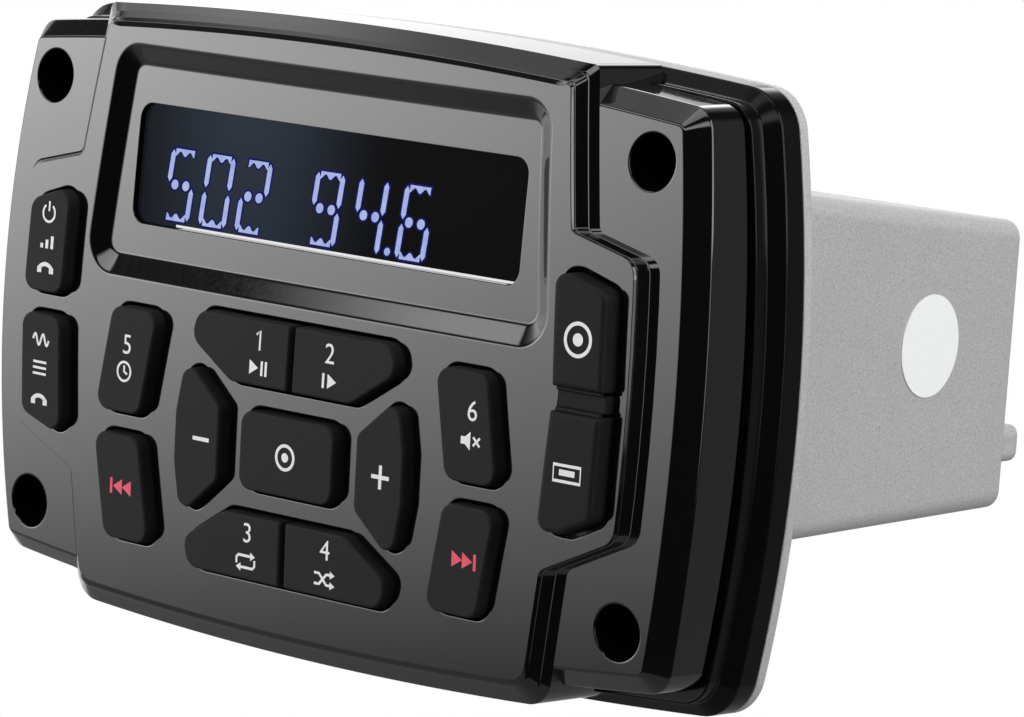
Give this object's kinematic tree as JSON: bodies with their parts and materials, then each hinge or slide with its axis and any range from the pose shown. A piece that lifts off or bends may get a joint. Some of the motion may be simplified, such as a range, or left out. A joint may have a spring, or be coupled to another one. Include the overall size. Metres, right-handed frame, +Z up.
{
  "type": "flush-mount marine stereo",
  "caption": "Flush-mount marine stereo with a glossy bowed bezel, raised rubber keys, a sunken display window, hinged port covers and a die-cast rear housing.",
  "frame": {"origin": "centre of the four screw holes, on the rear face of the flange, where the stereo seats on its panel", "axes": "+X to the right seen from the front, +Y back into the panel, +Z up"},
  "size_m": [0.1586, 0.1045, 0.1007],
  "materials": {
    "gloss_black_abs": "high gloss",
    "black_abs": "satin",
    "cast_aluminium": "bead blasted",
    "seal_rubber": "matt",
    "smoked_acrylic": "polished",
    "display_glass": "polished",
    "white_plastic": "satin",
    "silicone": "matt",
    "port_rubber": "matt",
    "black_plastic": "satin",
    "nickel_steel": "plated",
    "circuit_board": "solder mask",
    "zinc_steel": "zinc plated",
    "copper_ferrite": "enamelled",
    "white_label": "satin"
  },
  "bodies": {
    "stereo": {"front_bezel": "gloss_black_abs", "base_frame": "black_abs", "rear_housing": "cast_aluminium", "bezel_seal": "seal_rubber", "display_window": "smoked_acrylic", "lcd_panel": "display_glass", "lcd_frame": "white_plastic", "backlight": "white_plastic", "keypad_mat": "silicone", "port_cover_strap": "port_rubber", "aux_jack": "black_plastic", "usb_shell": "nickel_steel", "usb_tongue": "white_plastic", "port_plate": "black_abs", "port_board": "circuit_board", "port_screws": "zinc_steel", "key_board": "circuit_board", "key_switches": "black_plastic", "key_board_screws": "zinc_steel", "housing_screws": "zinc_steel", "ribbon_cable": "white_plastic", "ribbon_sockets": "white_plastic", "main_board": "circuit_board", "main_board_screws": "zinc_steel", "amplifier_chip": "black_plastic", "chip_clamp": "nickel_steel", "clamp_screw": "zinc_steel", "tuner_can": "nickel_steel", "bluetooth_module": "circuit_board", "control_chip": "black_plastic", "capacitors": "black_plastic", "choke": "copper_ferrite", "harness_grommet": "seal_rubber", "antenna_socket": "nickel_steel", "round_sticker": "white_label"},
    "key_power": {"key_power": "silicone"},
    "key_band": {"key_band": "silicone"},
    "key_1": {"key_1": "silicone"},
    "key_2": {"key_2": "silicone"},
    "key_3": {"key_3": "silicone"},
    "key_4": {"key_4": "silicone"},
    "key_5": {"key_5": "silicone"},
    "key_6": {"key_6": "silicone"},
    "key_previous": {"key_previous": "silicone"},
    "key_next": {"key_next": "silicone"},
    "key_volume_down": {"key_volume_down": "silicone"},
    "key_volume_up": {"key_volume_up": "silicone"},
    "key_select": {"key_select": "silicone"},
    "aux_flap": {"aux_flap": "port_rubber"},
    "usb_flap": {"usb_flap": "port_rubber"}
  },
  "joints": [
    {"name": "key_power_press", "type": "slide", "parent": "stereo", "child": "key_power", "axis": [0, 1, 0], "range_m": [0, 0.0009], "stiffness_N_per_m": 1500},
    {"name": "key_band_press", "type": "slide", "parent": "stereo", "child": "key_band", "axis": [0, 1, 0], "range_m": [0, 0.0009], "stiffness_N_per_m": 1500},
    {"name": "key_1_press", "type": "slide", "parent": "stereo", "child": "key_1", "axis": [0, 1, 0], "range_m": [0, 0.0009], "stiffness_N_per_m": 1500},
    {"name": "key_2_press", "type": "slide", "parent": "stereo", "child": "key_2", "axis": [0, 1, 0], "range_m": [0, 0.0009], "stiffness_N_per_m": 1500},
    {"name": "key_3_press", "type": "slide", "parent": "stereo", "child": "key_3", "axis": [0, 1, 0], "range_m": [0, 0.0009], "stiffness_N_per_m": 1500},
    {"name": "key_4_press", "type": "slide", "parent": "stereo", "child": "key_4", "axis": [0, 1, 0], "range_m": [0, 0.0009], "stiffness_N_per_m": 1500},
    {"name": "key_5_press", "type": "slide", "parent": "stereo", "child": "key_5", "axis": [0, 1, 0], "range_m": [0, 0.0009], "stiffness_N_per_m": 1500},
    {"name": "key_6_press", "type": "slide", "parent": "stereo", "child": "key_6", "axis": [0, 1, 0], "range_m": [0, 0.0009], "stiffness_N_per_m": 1500},
    {"name": "key_previous_press", "type": "slide", "parent": "stereo", "child": "key_previous", "axis": [0, 1, 0], "range_m": [0, 0.0009], "stiffness_N_per_m": 1500},
    {"name": "key_next_press", "type": "slide", "parent": "stereo", "child": "key_next", "axis": [0, 1, 0], "range_m": [0, 0.0009], "stiffness_N_per_m": 1500},
    {"name": "key_volume_down_press", "type": "slide", "parent": "stereo", "child": "key_volume_down", "axis": [0, 1, 0], "range_m": [0, 0.0009], "stiffness_N_per_m": 1500},
    {"name": "key_volume_up_press", "type": "slide", "parent": "stereo", "child": "key_volume_up", "axis": [0, 1, 0], "range_m": [0, 0.0009], "stiffness_N_per_m": 1500},
    {"name": "key_select_press", "type": "slide", "parent": "stereo", "child": "key_select", "axis": [0, 1, 0], "range_m": [0, 0.0009], "stiffness_N_per_m": 1500},
    {"name": "aux_flap_hinge", "type": "hinge", "parent": "stereo", "child": "aux_flap", "pos_m": [0.0588, -0.02783, 0.0006], "axis": [1, 0, 0], "range_deg": [0, 85], "stiffness_Nm_per_rad": 0.0008},
    {"name": "usb_flap_hinge", "type": "hinge", "parent": "stereo", "child": "usb_flap", "pos_m": [0.0588, -0.02783, -0.0026], "axis": [-1, 0, 0], "range_deg": [0, 85], "stiffness_Nm_per_rad": 0.0008}
  ]
}
